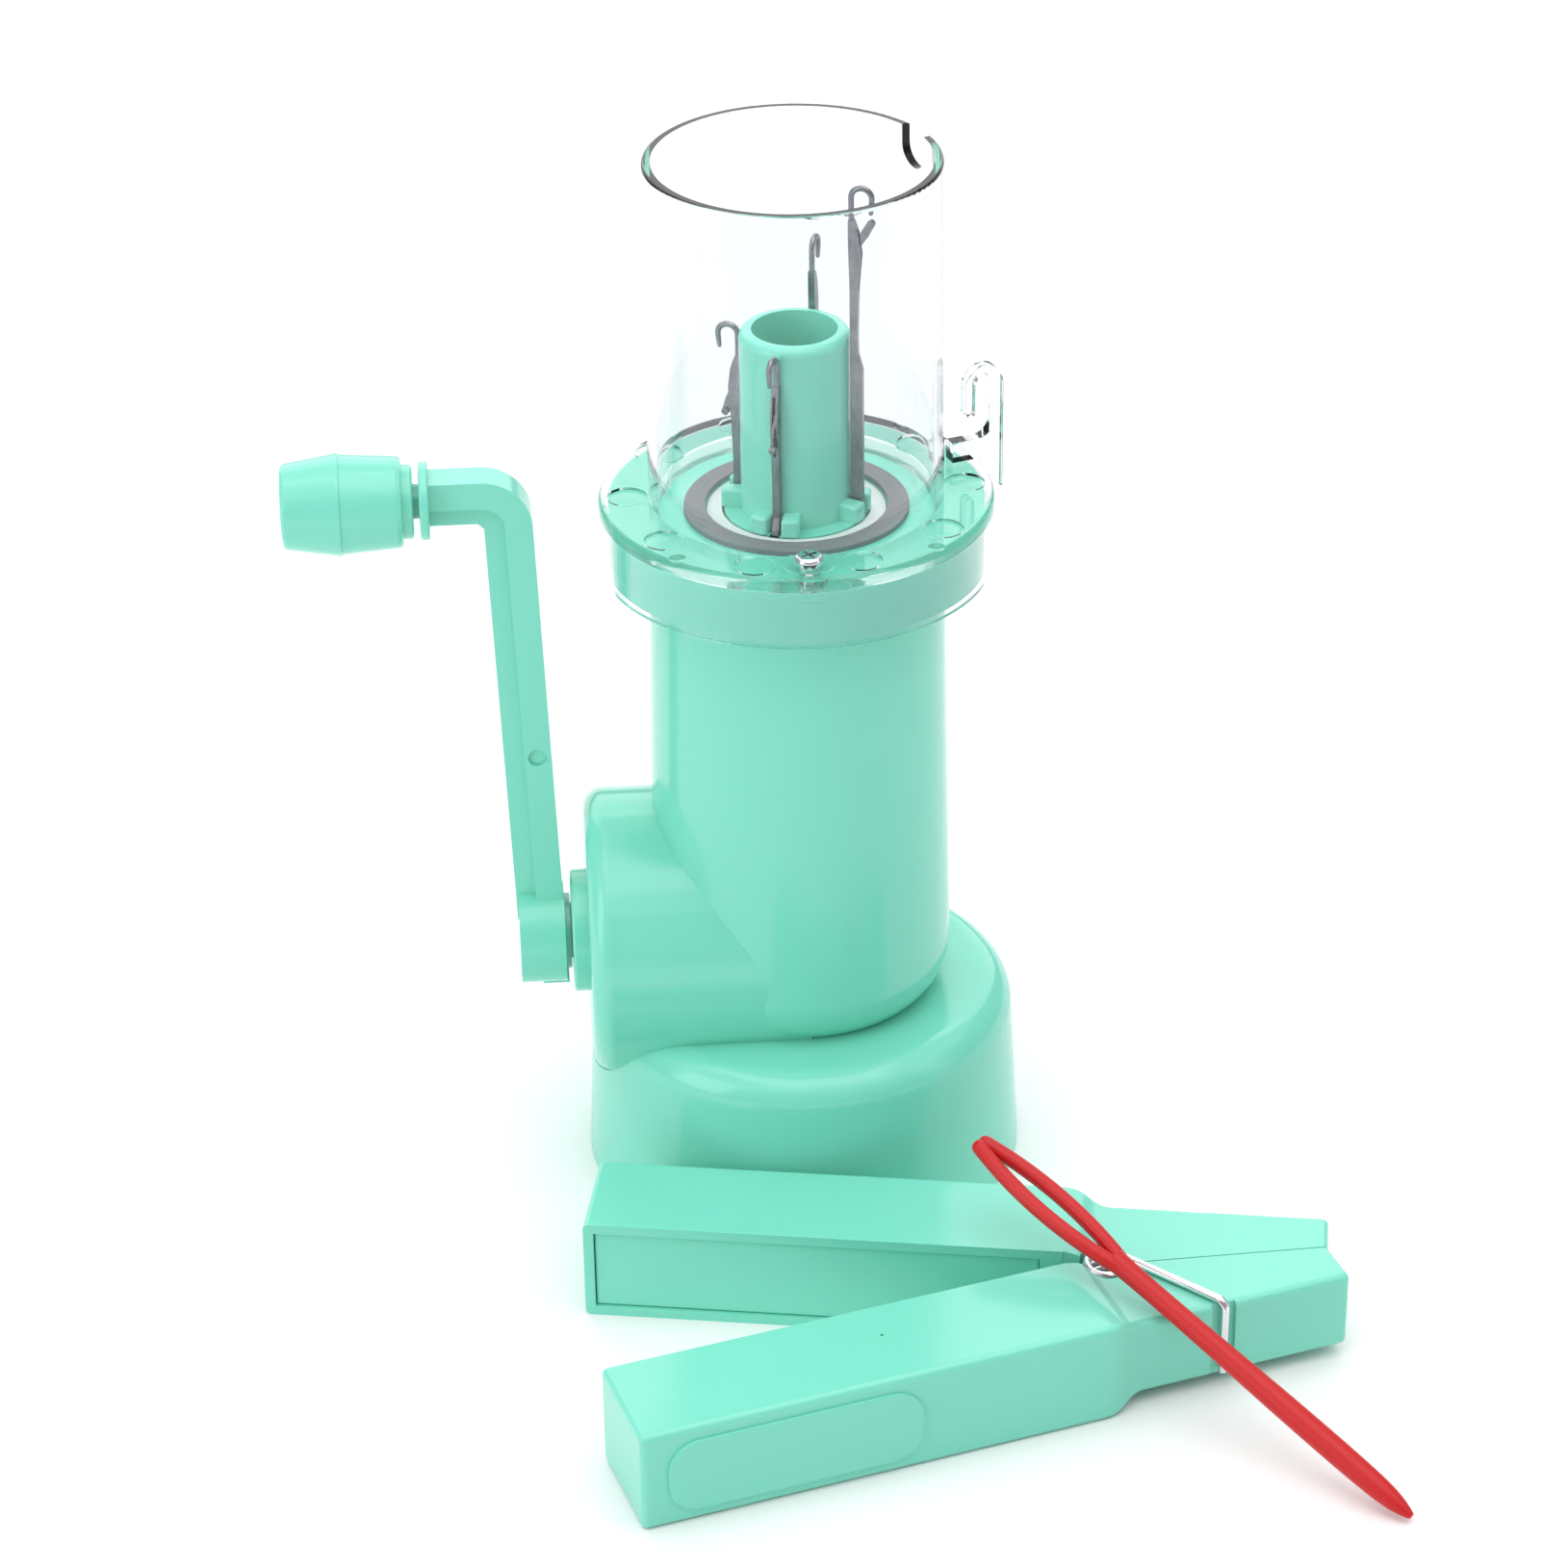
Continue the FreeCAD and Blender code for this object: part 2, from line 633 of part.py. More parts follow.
def make_arm_screw():
    screw = pan_screw(3.5, 1.6, 1.2, 9.5, 0.9)
    screw.rotate(V(0, 0, 0), Y_AXIS, -90)
    screw.translate(V(-49.2, 0, crank_axis_z))
    return screw


def make_knob():
    outline = [(-87.6, 0.0), (-87.6, 6.4)]
    outline += arc_points(-86.6, 6.4, 1.0, 180, 98, 5)[1:]
    outline += [(-78.0, 8.78), (-77.6, 8.78), (-77.5, 8.55), (-68.0, 7.85)]
    outline += [(-67.3, 7.6), (-67.1, 7.1), (-67.1, 6.35), (-65.6, 6.35), (-65.3, 6.0), (-65.3, 0.0)]
    knob = revolve_x(outline, knob_axis_z)
    knob = knob.cut(xcyl(pin_radius + 0.08, -81.2, -64, 0, knob_axis_z))
    return knob.cut(xcyl(3.75, -85.0, -81.1, 0, knob_axis_z))


# ------------------------------------------------------------------ latch needles

def swept_wire(points, radius):
    path = Part.Wire(points)
    start = points[0].valueAt(points[0].FirstParameter)
    direction = points[0].tangentAt(points[0].FirstParameter)
    circle = Part.Wire(Part.makeCircle(radius, start, direction))
    return path.makePipeShell([circle], True, True)


def needle_blank():
    """Latch needle with the top of its hook at z = 0 and its open side towards +X."""
    stem_x = -0.83
    beak_x = 2.74
    wire = 0.5
    bow_z = -wire - (beak_x - stem_x) / 2
    stem = Part.makeLine(V(stem_x, 0, -7.0), V(stem_x, 0, bow_z))
    bow = Part.Arc(V(stem_x, 0, bow_z), V((stem_x + beak_x) / 2, 0, -wire), V(beak_x, 0, bow_z)).toShape()
    hook = swept_wire([stem, bow], wire)
    joint = Part.makeSphere(wire, V(beak_x, 0, bow_z))
    beak = Part.makeCone(wire, 0.38, 2.3, V(beak_x, 0, bow_z), V(-0.24, 0, -2.29))
    tip = Part.makeSphere(0.38, V(beak_x - 0.24, 0, bow_z - 2.29))
    outline = [
        (-1.30, -6.0), (-0.36, -6.0), (0.45, -8.3), (0.92, -12.0), (0.42, -18.0), (0.20, -26.0),
        (0.25, -30.1), (1.05, -32.9), (1.05, -needle_length), (-1.05, -needle_length),
        (-1.05, -26.0), (-1.05, -18.0), (-1.25, -12.0), (-1.30, -8.3),
    ]
    shank = polygon_face([(x, -0.6, z) for x, z in outline]).extrude(V(0, 1.2, 0))
    butt = block(0.9, 2.1, -0.6, 0.6, -needle_length + 1.3, -needle_length + 3.7)
    needle = union([hook, joint, beak, tip, shank, butt])
    slot = block(-0.75, 1.3, -0.27, 0.27, -18.4, -7.6)
    needle = needle.cut(slot)
    rivet = Part.makeCylinder(0.36, 1.3, V(latch_pivot_x, -0.65, -latch_pivot_drop), Y_AXIS)
    return needle.fuse(rivet).removeSplitter()


def latch_blank(swing):
    """Leaf-shaped latch against the hook at swing 0, swung open about the rivet by swing."""
    root = Part.makeCylinder(0.5, 0.36, V(0, -0.18, 0), Y_AXIS)
    leaf = polygon_face([(-0.42, -0.18, 0), (0.42, -0.18, 0), (0.72, -0.18, 3.4), (0.66, -0.18, 5.4),
                         (0.3, -0.18, 6.4), (-0.3, -0.18, 6.4), (-0.66, -0.18, 5.4), (-0.72, -0.18, 3.4)])
    spoon = Part.makeCylinder(0.66, 0.9, V(0, -0.45, 5.6), Y_AXIS)
    latch = root.fuse([leaf.extrude(V(0, 0.36, 0)), spoon])
    latch = latch.cut(Part.makeCylinder(0.40, 2, V(0, -1, 0), Y_AXIS))
    latch = turned(latch, latch_closed + swing, V(0, 0, 0), Y_AXIS)
    latch.translate(V(latch_pivot_x, 0, -latch_pivot_drop))
    return latch


def place_needle(shape, index):
    shape.translate(V(needle_orbit, 0, needle_low_top_z + needle_lifts[index]))
    shape.rotate(V(0, 0, 0), Z_AXIS, needle_angles[index])
    return shape


# ------------------------------------------------------------------ clip weight

def s_bend(x0, level0, x1, level1):
    """Two tangent arcs that lead from one level to the other."""
    run = (x1 - x0) / 2
    rise = (level1 - level0) / 2
    radius = (run * run + rise * rise) / (2 * abs(rise))
    turn = math.asin(run / radius) / 2
    sag = radius * (1 - math.cos(turn)) * (1 if rise > 0 else -1)
    first = (x0 + radius * math.sin(turn), level0 + sag)
    second = (x1 - radius * math.sin(turn), level1 - sag)
    return first, (x0 + run, level0 + rise), second


def bar_prism(low, handle_level, jaw_level, upright):
    """Prism of the bar's outline, seen from above or, when upright, from the side."""
    start = -7.8
    stop = 0.4

    def point(x, level):
        return V(x, -1, level) if upright else V(x, level, -1)

    def bend(x0, l0, x1, l1):
        p, q, r = s_bend(x0, l0, x1, l1)
        return [
            Part.Arc(point(x0, l0), point(*p), point(*q)).toShape(),
            Part.Arc(point(*q), point(*r), point(x1, l1)).toShape(),
        ]

    edges = [Part.makeLine(point(-clip_handle, handle_level), point(start, handle_level))]
    edges += bend(start, handle_level, stop, jaw_level)
    edges.append(Part.makeLine(point(stop, jaw_level), point(clip_jaw, jaw_level)))
    if upright:
        edges.append(Part.makeLine(point(clip_jaw, jaw_level), point(clip_jaw, clip_step)))
        edges.append(Part.makeLine(point(clip_jaw, clip_step), point(stop, clip_step)))
        edges += bend(stop, clip_step, start, low)
        edges.append(Part.makeLine(point(start, low), point(-clip_handle, low)))
    else:
        edges.append(Part.makeLine(point(clip_jaw, jaw_level), point(clip_jaw, low)))
        edges.append(Part.makeLine(point(clip_jaw, low), point(-clip_handle, low)))
    edges.append(Part.makeLine(point(-clip_handle, low), point(-clip_handle, handle_level)))
    way = V(0, clip_width + 2, 0) if upright else V(0, 0, clip_height + 2)
    return Part.Face(Part.Wire(edges)).extrude(way)


def clip_half():
    """One half in bar coordinates: X along the bar to the jaw, Y outward from the pivot face."""
    w = clip_width
    h = clip_height
    s = clip_step
    bar = bar_prism(0, w, w - s, False).common(bar_prism(0, h, h - s, True)).removeSplitter()
    outer = [e for e in bar.Edges if e.BoundBox.YMin > w - s - 0.01 and e.BoundBox.XLength > 0.5]
    bar = bar.makeFillet(1.3, outer)
    ends = [e for e in bar.Edges if e.BoundBox.XLength < 1e-6 and e.BoundBox.YMin > 1.0]
    bar = bar.makeFillet(1.1, ends)
    seam = block(0, 60, -30, 0.12, -1, h + 1)
    seam = turned(seam, clip_half_angle)
    bar = bar.cut(seam)
    bar = bar.cut(block(-7.1, 1.0, -1, 0.12, -1, h + 1))
    bar = bar.cut(cyl(clip_coil + clip_wire + 0.45, -1, h + 1))
    bar = bar.cut(block(12.2, 16.6, w - s - 0.8, w, s - 1, h - s + 1))
    room = block(-clip_handle + 2.5, -12.0, 2.8, w - 2.2, 2.2, h - 2.2)
    lid_seat = block(-clip_handle + 1.8, -11.0, -1, 2.8, 1.8, h - 1.8)
    lip_room = block(-clip_handle + 3.0, -12.6, 1.5, 3.5, 3.0, h - 3.0)
    bar = bar.cut(room).cut(lid_seat).cut(lip_room)
    pad = block(-clip_handle + 4.5, -clip_handle + 49.0, w - 0.5, w + 0.5, 2.6, h - 2.6)
    pad = pad.makeFillet(5.5, [e for e in pad.Edges if e.BoundBox.YLength > 0.99])
    return bar.fuse(pad).removeSplitter()


def clip_lid():
    lid = block(-clip_handle + 1.9, -11.1, 0.5, 2.75, 1.9, clip_height - 1.9)
    return lid.makeFillet(0.4, [e for e in lid.Edges if e.BoundBox.YMax < 0.51])


def clip_weight():
    bar = block(-clip_handle + 3.0, -12.6, 2.9, clip_width - 2.4, 2.6, clip_height - 2.6)
    return bar.makeChamfer(0.6, [e for e in bar.Edges if e.BoundBox.XLength > 20])


def place_rear(shape):
    shape.rotate(V(0, 0, 0), Z_AXIS, -clip_half_angle + clip_yaw)
    shape.translate(clip_pivot)
    return shape


def place_front(shape):
    flipped = shape.mirror(V(0, 0, 0), Y_AXIS)
    flipped.rotate(V(0, 0, 0), Z_AXIS, clip_half_angle + clip_yaw)
    flipped.translate(clip_pivot)
    return flipped


def spring_arm(gap):
    """Arm for the +Y half: leaves the coil low, crosses under the jaw and turns up its side."""
    tilt = math.radians(clip_half_angle)
    along = 14.4
    out = clip_width - clip_step + 0.3
    side_x = along * math.cos(tilt) + out * math.sin(tilt)
    side_y = -along * math.sin(tilt) + out * math.cos(tilt)
    low_z = clip_step - clip_wire - 0.1
    reach = math.hypot(side_x, side_y)
    lead = math.asin(clip_coil / reach)
    heading = math.atan2(side_y, side_x) + lead
    start = V(clip_coil * math.sin(heading), -clip_coil * math.cos(heading), low_z)
    corner = V(side_x, side_y, low_z)
    toward = (corner - start).normalize()
    bend = 1.6
    before = corner - toward * bend
    after = corner + V(0, 0, bend)
    centre_gap = bend * 0.293
    middle = corner - toward * centre_gap + V(0, 0, centre_gap)
    edges = [
        Part.makeLine(start + toward * gap, before),
        Part.Arc(before, middle, after).toShape(),
        Part.makeLine(after, V(side_x, side_y, clip_height - clip_step - 1.0)),
    ]
    return swept_wire(edges, clip_wire), heading


def make_clip_springs():
    rear_arm, heading = spring_arm(0.0)
    arm, heading = spring_arm(0.3)
    low_z = clip_step - clip_wire - 0.1
    high_z = clip_height - low_z
    start_angle = math.degrees(heading) - 90.0
    turn = 10 * 360.0 + 2 * start_angle
    rise = high_z - low_z
    pitch = rise / (turn / 360.0)
    helix = Part.makeHelix(pitch, rise, clip_coil, 0, True)
    helix.rotate(V(0, 0, 0), Z_AXIS, start_angle)
    helix.translate(V(0, 0, low_z))
    first = helix.Edges[0]
    origin = first.valueAt(first.FirstParameter)
    direction = first.tangentAt(first.FirstParameter)
    circle = Part.Wire(Part.makeCircle(clip_wire, origin, direction))
    coil = Part.Wire(helix.Edges).makePipeShell([circle], True, True)
    front_arm = arm.mirror(V(0, 0, 0), Y_AXIS).mirror(V(0, 0, clip_height / 2), Z_AXIS)
    return coil, rear_arm, front_arm


def place_clip(shape):
    shape.rotate(V(0, 0, 0), Z_AXIS, clip_yaw)
    shape.translate(clip_pivot)
    return shape


# ------------------------------------------------------------------ yarn needle

def make_yarn_needle():
    """Blunt plastic needle along +X from its tip, with one long open eye at the far end."""
    length = yarn_length
    eye_start = length - 34.0
    stations = [(0.0, 0.55), (1.2, 1.0), (9.0, 2.05), (14.0, 2.15), (40.0, 1.95), (eye_start + 2, 1.95)]
    points = [V(x, 0, r) for x, r in stations]
    top = Part.BSplineCurve()
    top.interpolate(points)
    edges = [
        Part.makeLine(V(0, 0, 0), points[0]),
        top.toShape(),
        Part.makeLine(points[-1], V(points[-1].x, 0, 0)),
        Part.makeLine(V(points[-1].x, 0, 0), V(0, 0, 0)),
    ]
    shaft = Part.Face(Part.Wire(edges)).revolve(V(0, 0, 0), X_AXIS, 360)
    half_width = 4.1
    middle = (eye_start + length - 1.5) / 2
    strands = []
    for side in (-1, 1):
        bow = Part.Arc(V(eye_start, side * 0.6, 0), V(middle, side * (half_width - 1.35), 0),
                       V(length - 1.5, side * 0.8, 0)).toShape()
        section_start = bow.valueAt(bow.FirstParameter)
        section_way = bow.tangentAt(bow.FirstParameter)
        circle = Part.Wire(Part.makeCircle(1.35, section_start, section_way))
        strands.append(Part.Wire([bow]).makePipeShell([circle], True, True))
        strands.append(Part.makeSphere(1.35, V(length - 1.5, side * 0.8, 0)))
    needle = union([shaft] + strands)
    way = (yarn_support - yarn_tip).normalize()
    heading = math.degrees(math.atan2(way.y, way.x))
    climb = math.degrees(math.asin(way.z))
    needle.rotate(V(0, 0, 0), Y_AXIS, -climb)
    needle.rotate(V(0, 0, 0), Z_AXIS, heading)
    needle.translate(yarn_tip)
    return needle


# ------------------------------------------------------------------ write every node

os.makedirs("parts", exist_ok=True)

save("body", make_body())
save("base_cover", make_base_cover())
save("base_cover_screws", *make_base_screws())
save("gear_cover", make_gear_cover())
save("crank_bush", make_crank_bush())
save("top_collar", make_collar())
save("grey_ring", make_grey_ring())
save("clear_cover", make_clear_cover())
save("yarn_guide", make_yarn_guide())
save("cover_screws", *make_cover_screws())
lower_cam, upper_cam = make_cams()
save("lower_cam", lower_cam)
save("upper_cam", upper_cam)
save("bearing_ring", make_bearing_ring())
save("needle_cylinder", make_head())
save("cylinder_gear", make_head_gear())
save("needle_retainer_ring", make_garter_spring())
save("crank_gear", make_crank_gear())
save("crank_shaft", make_crank_shaft())
save("crank_arm", make_crank_arm())
save("arm_screw", make_arm_screw())
save("knob", make_knob())
for number in range(4):
    save("needle_" + str(number + 1), place_needle(needle_blank(), number))
    save("latch_" + str(number + 1), place_needle(latch_blank(latch_swings[number]), number))
save("clip_rear", place_rear(clip_half()))
save("clip_rear_lid", place_rear(clip_lid()))
save("clip_rear_weight", place_rear(clip_weight()))
save("clip_front", place_front(clip_half()))
save("clip_front_lid", place_front(clip_lid()))
save("clip_front_weight", place_front(clip_weight()))
coil, rear_arm, front_arm = make_clip_springs()
save("clip_spring", place_clip(coil), place_clip(rear_arm))
save("clip_spring_front_arm", place_clip(front_arm))
save("yarn_needle", make_yarn_needle())
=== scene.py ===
"""Looks of the knitting mill, its clip weight and its yarn needle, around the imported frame.

Metres, +Z up.
"""

import json
import math

import bpy
from mathutils import Matrix, Vector

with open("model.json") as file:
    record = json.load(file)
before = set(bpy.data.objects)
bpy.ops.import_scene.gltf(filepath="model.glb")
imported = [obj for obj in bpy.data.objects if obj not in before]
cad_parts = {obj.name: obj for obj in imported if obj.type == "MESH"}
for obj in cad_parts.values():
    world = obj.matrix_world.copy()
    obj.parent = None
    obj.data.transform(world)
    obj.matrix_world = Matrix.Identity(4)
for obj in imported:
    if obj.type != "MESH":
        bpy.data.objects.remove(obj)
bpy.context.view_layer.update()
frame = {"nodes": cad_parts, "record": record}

# ---- camera, in the frame's own metres and degrees ----
camera_azimuth = -4.0
camera_elevation = 26.24
camera_distance = 0.7755
camera_target = Vector((0.0, 0.0, 0.132))
camera_aim = Vector((-0.0028, 0.0, 0.0740))
camera_roll = -0.8
camera_lens = 104.0
sensor_width = 36.0

# ---- light: places and sizes in metres, power in watts ----
light_aim = Vector((0.0, 0.0, 0.08))
glow_strength = 1.5
glow_angle = 100.0
world_colour = (0.97, 0.985, 1.0, 1)
world_strength = 0.36

# ---- floor ----
floor_reach = 6.0
paper_colour = (0.93, 0.93, 0.93, 1)
paper_roughness = 0.75

# ---- moulded plastic ----
plastic_ior = 1.53
scatter_radius = (0.5, 0.9, 0.75)
scatter_scale = 0.0012
speck_spacing = 0.020
speck_size = 0.00035
speck_shade = 0.25
fine_peel_share = 0.15

# ---- clear plastic: the refraction is below acrylic's 1.49, so that thin edges stay light ----
clear_ior = 1.38
clear_ripple = 0.00001

satin_grain_depth = 0.00001


# ------------------------------------------------------------------ material helpers

def new_material(name):
    material = bpy.data.materials.new(name)
    material.use_nodes = True
    tree = material.node_tree
    tree.nodes.clear()
    output = tree.nodes.new("ShaderNodeOutputMaterial")
    shader = tree.nodes.new("ShaderNodeBsdfPrincipled")
    tree.links.new(shader.outputs["BSDF"], output.inputs["Surface"])
    return material, tree, shader


def noise(tree, scale, detail=4.0, roughness=0.5, stretch=(1, 1, 1)):
    """Noise in object space; scale is in lumps per metre, stretched along the given axes."""
    where = tree.nodes.new("ShaderNodeTexCoord")
    mapping = tree.nodes.new("ShaderNodeMapping")
    mapping.inputs["Scale"].default_value = stretch
    texture = tree.nodes.new("ShaderNodeTexNoise")
    texture.inputs["Scale"].default_value = scale
    texture.inputs["Detail"].default_value = detail
    texture.inputs["Roughness"].default_value = roughness
    tree.links.new(where.outputs["Object"], mapping.inputs["Vector"])
    tree.links.new(mapping.outputs["Vector"], texture.inputs["Vector"])
    return texture.outputs["Fac"]


def remap(tree, value, low_in, high_in, low_out, high_out):
    node = tree.nodes.new("ShaderNodeMapRange")
    node.inputs["From Min"].default_value = low_in
    node.inputs["From Max"].default_value = high_in
    node.inputs["To Min"].default_value = low_out
    node.inputs["To Max"].default_value = high_out
    tree.links.new(value, node.inputs["Value"])
    return node.outputs["Result"]


def mix_colour(tree, factor, first, second):
    """Blend from the first colour, or another node's output, to the second colour."""
    node = tree.nodes.new("ShaderNodeMix")
    node.data_type = "RGBA"
    if isinstance(first, tuple):
        node.inputs["A"].default_value = (*first, 1)
    else:
        tree.links.new(first, node.inputs["A"])
    node.inputs["B"].default_value = (*second, 1)
    tree.links.new(factor, node.inputs["Factor"])
    return node.outputs["Result"]


def bump(tree, shader, height, distance, strength=1.0, base=None):
    """Raise the surface by a height; base is an earlier bump that this one adds to."""
    node = tree.nodes.new("ShaderNodeBump")
    node.inputs["Distance"].default_value = distance
    node.inputs["Strength"].default_value = strength
    tree.links.new(height, node.inputs["Height"])
    if base is not None:
        tree.links.new(base, node.inputs["Normal"])
    tree.links.new(node.outputs["Normal"], shader.inputs["Normal"])
    return node.outputs["Normal"]


def specks(tree, spacing, size):
    """Sparse dots, as dust moulded into the surface leaves: 1 in a dot, 0 elsewhere."""
    where = tree.nodes.new("ShaderNodeTexCoord")
    cells = tree.nodes.new("ShaderNodeTexVoronoi")
    cells.inputs["Scale"].default_value = 1.0 / spacing
    tree.links.new(where.outputs["Object"], cells.inputs["Vector"])
    return remap(tree, cells.outputs["Distance"], 0.7 * size / spacing, size / spacing, 1.0, 0.0)


def moulded_plastic(name, colour, deep, roughness, depth=0.0000015, scatter=0.10, specular=0.5):
    """Glossy moulded plastic: faint flow lines, rare specks and a very shallow orange peel."""
    material, tree, shader = new_material(name)
    flow = remap(tree, noise(tree, 22.0, 3.0, 0.5, (1, 1, 0.35)), 0.35, 0.65, 0.0, 1.0)
    base = mix_colour(tree, flow, colour, deep)
    speck_colour = tuple(speck_shade * value for value in deep)
    dotted = mix_colour(tree, specks(tree, speck_spacing, speck_size), base, speck_colour)
    tree.links.new(dotted, shader.inputs["Base Color"])
    gloss = noise(tree, 45.0, 3.0, 0.5)
    tree.links.new(remap(tree, gloss, 0.3, 0.7, roughness - 0.02, roughness + 0.03),
                   shader.inputs["Roughness"])
    shader.inputs["IOR"].default_value = plastic_ior
    shader.inputs["Specular IOR Level"].default_value = specular
    shader.inputs["Subsurface Weight"].default_value = scatter
    shader.inputs["Subsurface Radius"].default_value = scatter_radius
    shader.inputs["Subsurface Scale"].default_value = scatter_scale
    peel = bump(tree, shader, noise(tree, 260.0, 2.0, 0.4), depth)
    bump(tree, shader, noise(tree, 3500.0, 2.0, 0.5), depth * fine_peel_share, 0.6, peel)
    return material


def clear_plastic(name):
    """Clear polished plastic with a hint of blue and a soft moulding ripple."""
    material, tree, shader = new_material(name)
    flow = remap(tree, noise(tree, 30.0, 2.0), 0.3, 0.7, 0.0, 1.0)
    tree.links.new(mix_colour(tree, flow, (0.900, 0.913, 0.925), (0.890, 0.905, 0.918)),
                   shader.inputs["Base Color"])
    haze = remap(tree, noise(tree, 90.0, 4.0), 0.35, 0.75, 0.01, 0.05)
    tree.links.new(haze, shader.inputs["Roughness"])
    shader.inputs["IOR"].default_value = clear_ior
    shader.inputs["Transmission Weight"].default_value = 1.0
    bump(tree, shader, noise(tree, 60.0, 2.0, 0.4, (1, 1, 0.2)), clear_ripple)
    return material


def worked_steel(name, colour, dark, roughness, along=(1, 1, 0.03), grain=2600.0, depth=0.000003):
    """Metal with fine drawn lines along one direction and cloudy stains."""
    material, tree, shader = new_material(name)
    stain = remap(tree, noise(tree, 260.0, 6.0, 0.65), 0.35, 0.7, 0.0, 1.0)
    tree.links.new(mix_colour(tree, stain, colour, dark), shader.inputs["Base Color"])
    shader.inputs["Metallic"].default_value = 1.0
    lines = noise(tree, grain, 3.0, 0.6, along)
    tree.links.new(remap(tree, lines, 0.3, 0.7, roughness - 0.07, roughness + 0.10),
                   shader.inputs["Roughness"])
    bump(tree, shader, lines, depth)
    return material


def satin(name, colour, deep, roughness):
    """Matt moulded plastic with a fine even grain."""
    material, tree, shader = new_material(name)
    cloud = remap(tree, noise(tree, 120.0, 5.0, 0.6), 0.3, 0.7, 0.0, 1.0)
    tree.links.new(mix_colour(tree, cloud, colour, deep), shader.inputs["Base Color"])
    grain = noise(tree, 700.0, 3.0)
    tree.links.new(remap(tree, grain, 0.3, 0.7, roughness - 0.05, roughness + 0.08),
                   shader.inputs["Roughness"])
    bump(tree, shader, noise(tree, 2200.0, 3.0, 0.5), satin_grain_depth)
    return material


by_slot = {
    "green_plastic": moulded_plastic(
        "mint_plastic", (0.212, 0.722, 0.568), (0.205, 0.710, 0.556), 0.15),
    "red_plastic": moulded_plastic(
        "red_plastic", (0.600, 0.014, 0.016), (0.570, 0.012, 0.014), 0.34,
        depth=0.000004, scatter=0.05, specular=0.3),
    "clear_plastic": clear_plastic("clear_plastic"),
    "pale_plastic": satin("pale_plastic", (0.82, 0.88, 0.85), (0.77, 0.84, 0.81), 0.45),
    "gear_plastic": satin("gear_plastic", (0.86, 0.86, 0.81), (0.80, 0.80, 0.75), 0.40),
    "grey_ring": satin("grey_ring", (0.225, 0.230, 0.240), (0.195, 0.200, 0.210), 0.50),
    "needle_steel": worked_steel("needle_steel", (0.33, 0.34, 0.36), (0.22, 0.22, 0.24), 0.30),
    "weight_steel": worked_steel("weight_steel", (0.42, 0.42, 0.43), (0.30, 0.30, 0.31), 0.42),
    "bright_steel": worked_steel(
        "bright_steel", (0.86, 0.86, 0.88), (0.76, 0.77, 0.80), 0.16,
        along=(1, 1, 1), grain=900.0, depth=0.000002),
}


def dress_cad_nodes():
    """Give every node its slot's material; clear plastic casts no shadow."""
    for row in frame["record"]["subparts"]:
        node = frame["nodes"][row["node"]]
        node.data.materials.clear()
        node.data.materials.append(by_slot[row["material_slot"]])
        if row["material_slot"] == "clear_plastic":
            node.visible_shadow = False


# ------------------------------------------------------------------ camera, light, floor

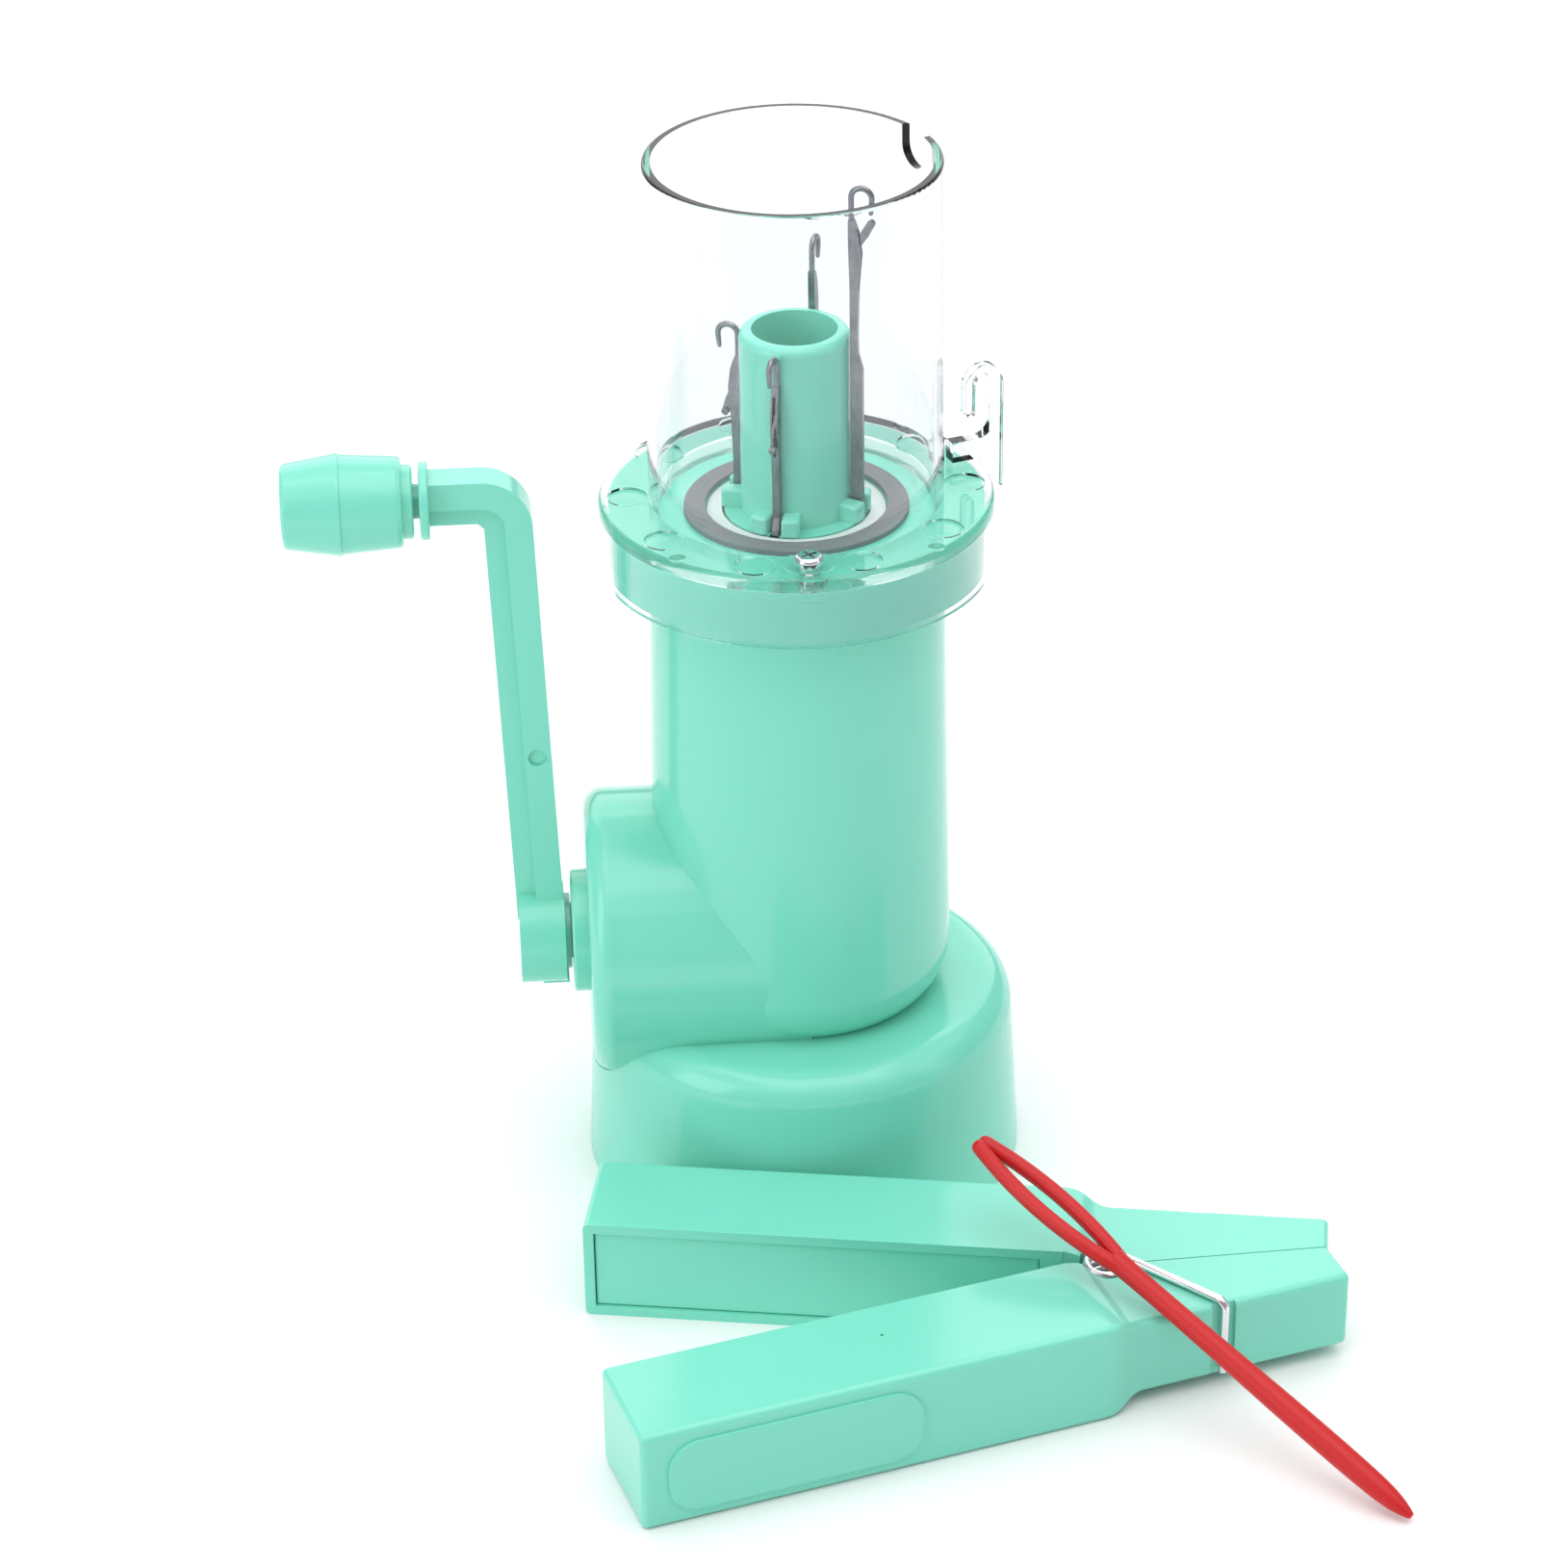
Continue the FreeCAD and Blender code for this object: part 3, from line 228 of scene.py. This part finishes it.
def make_camera():
    azimuth = math.radians(camera_azimuth)
    elevation = math.radians(camera_elevation)
    back = Vector((
        math.sin(azimuth) * math.cos(elevation),
        -math.cos(azimuth) * math.cos(elevation),
        math.sin(elevation),
    ))
    data = bpy.data.cameras.new("camera")
    data.lens = camera_lens
    data.sensor_width = sensor_width
    camera = bpy.data.objects.new("camera", data)
    camera.location = camera_target + back * camera_distance
    turn = (camera_aim - camera.location).to_track_quat("-Z", "Y")
    roll = Matrix.Rotation(math.radians(camera_roll), 3, "Z").to_quaternion()
    camera.rotation_mode = "QUATERNION"
    camera.rotation_quaternion = turn @ roll
    bpy.context.scene.collection.objects.link(camera)
    bpy.context.scene.camera = camera


def make_light(name, place, size, power, size_y=None):
    """Softbox pointing at the middle of the machine; square unless size_y is given."""
    data = bpy.data.lights.new(name, "AREA")
    data.energy = power
    data.size = size
    if size_y is not None:
        data.shape = "RECTANGLE"
        data.size_y = size_y
    lamp = bpy.data.objects.new(name, data)
    lamp.location = place
    lamp.rotation_mode = "QUATERNION"
    lamp.rotation_quaternion = (light_aim - Vector(place)).to_track_quat("-Z", "Y")
    bpy.context.scene.collection.objects.link(lamp)


def make_overcast(name):
    """Very wide overhead glow that lights the paper evenly out to its far edge."""
    data = bpy.data.lights.new(name, "SUN")
    data.energy = glow_strength
    data.angle = math.radians(glow_angle)
    lamp = bpy.data.objects.new(name, data)
    bpy.context.scene.collection.objects.link(lamp)


def make_world():
    world = bpy.data.worlds.new("studio")
    bpy.context.scene.world = world
    world.use_nodes = True
    background = world.node_tree.nodes["Background"]
    background.inputs["Color"].default_value = world_colour
    background.inputs["Strength"].default_value = world_strength
    bpy.context.scene.view_settings.view_transform = "Standard"


def make_floor():
    mesh = bpy.data.meshes.new("floor")
    corners = [
        (-floor_reach, -floor_reach, 0),
        (floor_reach, -floor_reach, 0),
        (floor_reach, floor_reach, 0),
        (-floor_reach, floor_reach, 0),
    ]
    mesh.from_pydata(corners, [], [(0, 1, 2, 3)])
    floor = bpy.data.objects.new("floor", mesh)
    bpy.context.scene.collection.objects.link(floor)
    material, _, shader = new_material("floor_paper")
    shader.inputs["Base Color"].default_value = paper_colour
    shader.inputs["Roughness"].default_value = paper_roughness
    floor.data.materials.append(material)


dress_cad_nodes()
make_camera()
make_world()
make_light("top_softbox", (0.05, -0.15, 1.30), 1.1, 5.0)
make_light("left_softbox", (-1.10, -0.65, 0.60), 0.7, 5.0, size_y=1.0)
make_light("right_softbox", (1.15, -0.35, 0.55), 0.4, 1.0, size_y=1.0)
make_light("back_panel", (0.0, 1.7, 0.95), 2.6, 16.0, size_y=1.3)
make_overcast("sky_glow")
make_floor()
